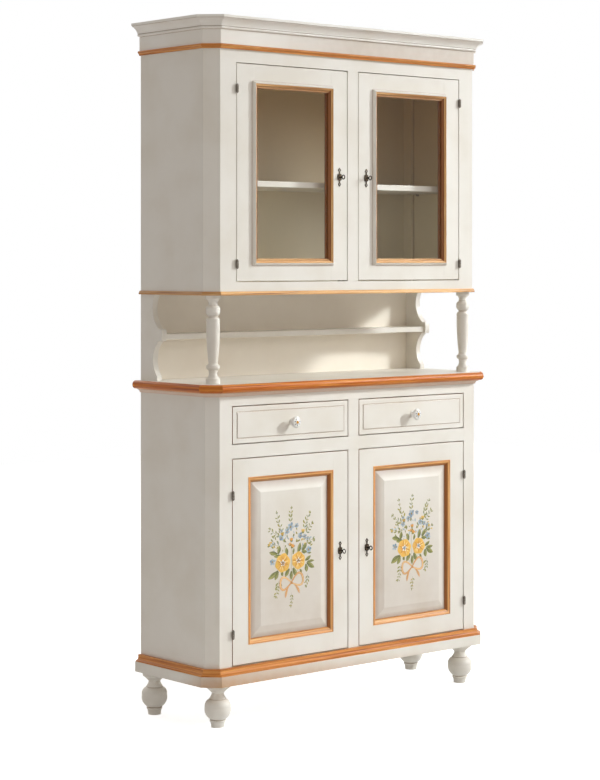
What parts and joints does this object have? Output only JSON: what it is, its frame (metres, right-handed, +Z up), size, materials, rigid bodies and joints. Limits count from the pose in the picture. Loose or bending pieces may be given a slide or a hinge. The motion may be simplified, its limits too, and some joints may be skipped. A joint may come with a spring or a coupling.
{
  "type": "dresser with hutch",
  "caption": "Painted country dresser: glazed hutch over an open niche with turned columns, drawers and panelled lockable doors below, on bun feet.",
  "frame": {"origin": "on the floor, under the middle of the whole dresser", "axes": "+Z up, +Y from the front to the wall side, +X to the right as seen from the front"},
  "size_m": [1.196, 0.379, 2.1],
  "materials": {
    "cream_paint": "hand-painted ivory with an antique glaze in the grooves, satin",
    "honey_wood": "honey stain, satin",
    "bare_wood": "unfinished",
    "glass": "clear",
    "antique_metal": "dark antique",
    "porcelain": "glossy glaze"
  },
  "bodies": {
    "carcass": {"base_sides": "cream_paint", "base_posts": "cream_paint", "base_face_frame": "cream_paint", "base_floor": "cream_paint", "base_shelf": "cream_paint", "plinth": "cream_paint", "feet": "cream_paint", "counter_top": "cream_paint", "niche_brackets": "cream_paint", "niche_shelf": "cream_paint", "columns": "cream_paint", "hutch_sides": "cream_paint", "hutch_posts": "cream_paint", "hutch_face_frame": "cream_paint", "hutch_boards": "cream_paint", "hutch_back": "cream_paint", "hutch_shelf": "cream_paint", "cornice": "cream_paint", "plinth_moulding": "honey_wood", "counter_edge": "honey_wood", "hutch_moulding": "honey_wood", "frieze_bead": "honey_wood", "base_back": "bare_wood", "drawer_runners": "bare_wood", "shelf_pins": "antique_metal", "hinge_leaves": "antique_metal"},
    "hutch_door_right": {"hutch_door_right_frame": "cream_paint", "hutch_door_right_glazing": "honey_wood", "hutch_door_right_glass": "glass", "hutch_door_right_lock": "antique_metal", "hutch_door_right_hinges": "antique_metal"},
    "hutch_door_right_key": {"hutch_door_right_key": "antique_metal"},
    "hutch_door_right_bolt": {"hutch_door_right_bolt": "antique_metal"},
    "base_door_right": {"base_door_right_frame": "cream_paint", "base_door_right_moulding": "honey_wood", "base_door_right_panel": "cream_paint", "base_door_right_lock": "antique_metal", "base_door_right_hinges": "antique_metal"},
    "base_door_right_key": {"base_door_right_key": "antique_metal"},
    "base_door_right_bolt": {"base_door_right_bolt": "antique_metal"},
    "drawer_right": {"drawer_right_front": "cream_paint", "drawer_right_box": "bare_wood", "drawer_right_knob": "porcelain"},
    "hutch_door_left": {"hutch_door_left_frame": "cream_paint", "hutch_door_left_glazing": "honey_wood", "hutch_door_left_glass": "glass", "hutch_door_left_lock": "antique_metal", "hutch_door_left_hinges": "antique_metal"},
    "hutch_door_left_key": {"hutch_door_left_key": "antique_metal"},
    "hutch_door_left_bolt": {"hutch_door_left_bolt": "antique_metal"},
    "base_door_left": {"base_door_left_frame": "cream_paint", "base_door_left_moulding": "honey_wood", "base_door_left_panel": "cream_paint", "base_door_left_lock": "antique_metal", "base_door_left_hinges": "antique_metal"},
    "base_door_left_key": {"base_door_left_key": "antique_metal"},
    "base_door_left_bolt": {"base_door_left_bolt": "antique_metal"},
    "drawer_left": {"drawer_left_front": "cream_paint", "drawer_left_box": "bare_wood", "drawer_left_knob": "porcelain"}
  },
  "joints": [
    {"name": "hutch_door_right_swing", "type": "hinge", "parent": "carcass", "child": "hutch_door_right", "pos_m": [0.46475, -0.15825, 1.641], "axis": [0, 0, 1], "range_deg": [0, 165]},
    {"name": "hutch_door_right_key_turn", "type": "hinge", "parent": "hutch_door_right", "child": "hutch_door_right_key", "pos_m": [0.056, -0.1535, 1.6365], "axis": [0, -1, 0], "range_deg": [0, 180]},
    {"name": "hutch_door_right_bolt_throw", "type": "slide", "parent": "hutch_door_right", "child": "hutch_door_right_bolt", "axis": [-1, 0, 0], "range_m": [0, 0.009]},
    {"name": "base_door_right_swing", "type": "hinge", "parent": "carcass", "child": "base_door_right", "pos_m": [0.48275, -0.16125, 0.48688], "axis": [0, 0, 1], "range_deg": [0, 165]},
    {"name": "base_door_right_key_turn", "type": "hinge", "parent": "base_door_right", "child": "base_door_right_key", "pos_m": [0.056, -0.1565, 0.485], "axis": [0, -1, 0], "range_deg": [0, 180]},
    {"name": "base_door_right_bolt_throw", "type": "slide", "parent": "base_door_right", "child": "base_door_right_bolt", "axis": [-1, 0, 0], "range_m": [0, 0.009]},
    {"name": "drawer_right_slide", "type": "slide", "parent": "carcass", "child": "drawer_right", "axis": [0, -1, 0], "range_m": [0, 0.22]},
    {"name": "hutch_door_left_swing", "type": "hinge", "parent": "carcass", "child": "hutch_door_left", "pos_m": [-0.46475, -0.15825, 1.641], "axis": [0, 0, -1], "range_deg": [0, 165]},
    {"name": "hutch_door_left_key_turn", "type": "hinge", "parent": "hutch_door_left", "child": "hutch_door_left_key", "pos_m": [-0.056, -0.1535, 1.6365], "axis": [0, 1, 0], "range_deg": [0, 180]},
    {"name": "hutch_door_left_bolt_throw", "type": "slide", "parent": "hutch_door_left", "child": "hutch_door_left_bolt", "axis": [1, 0, 0], "range_m": [0, 0.009]},
    {"name": "base_door_left_swing", "type": "hinge", "parent": "carcass", "child": "base_door_left", "pos_m": [-0.48275, -0.16125, 0.48688], "axis": [0, 0, -1], "range_deg": [0, 165]},
    {"name": "base_door_left_key_turn", "type": "hinge", "parent": "base_door_left", "child": "base_door_left_key", "pos_m": [-0.056, -0.1565, 0.485], "axis": [0, 1, 0], "range_deg": [0, 180]},
    {"name": "base_door_left_bolt_throw", "type": "slide", "parent": "base_door_left", "child": "base_door_left_bolt", "axis": [1, 0, 0], "range_m": [0, 0.009]},
    {"name": "drawer_left_slide", "type": "slide", "parent": "carcass", "child": "drawer_left", "axis": [0, -1, 0], "range_m": [0, 0.22]}
  ],
  "couplings": [
    {"joint": "hutch_door_right_key_turn", "follows": "hutch_door_right_bolt_throw", "rad_per_m": 349.06},
    {"joint": "base_door_right_key_turn", "follows": "base_door_right_bolt_throw", "rad_per_m": 349.06},
    {"joint": "hutch_door_left_key_turn", "follows": "hutch_door_left_bolt_throw", "rad_per_m": 349.06},
    {"joint": "base_door_left_key_turn", "follows": "base_door_left_bolt_throw", "rad_per_m": 349.06}
  ]
}
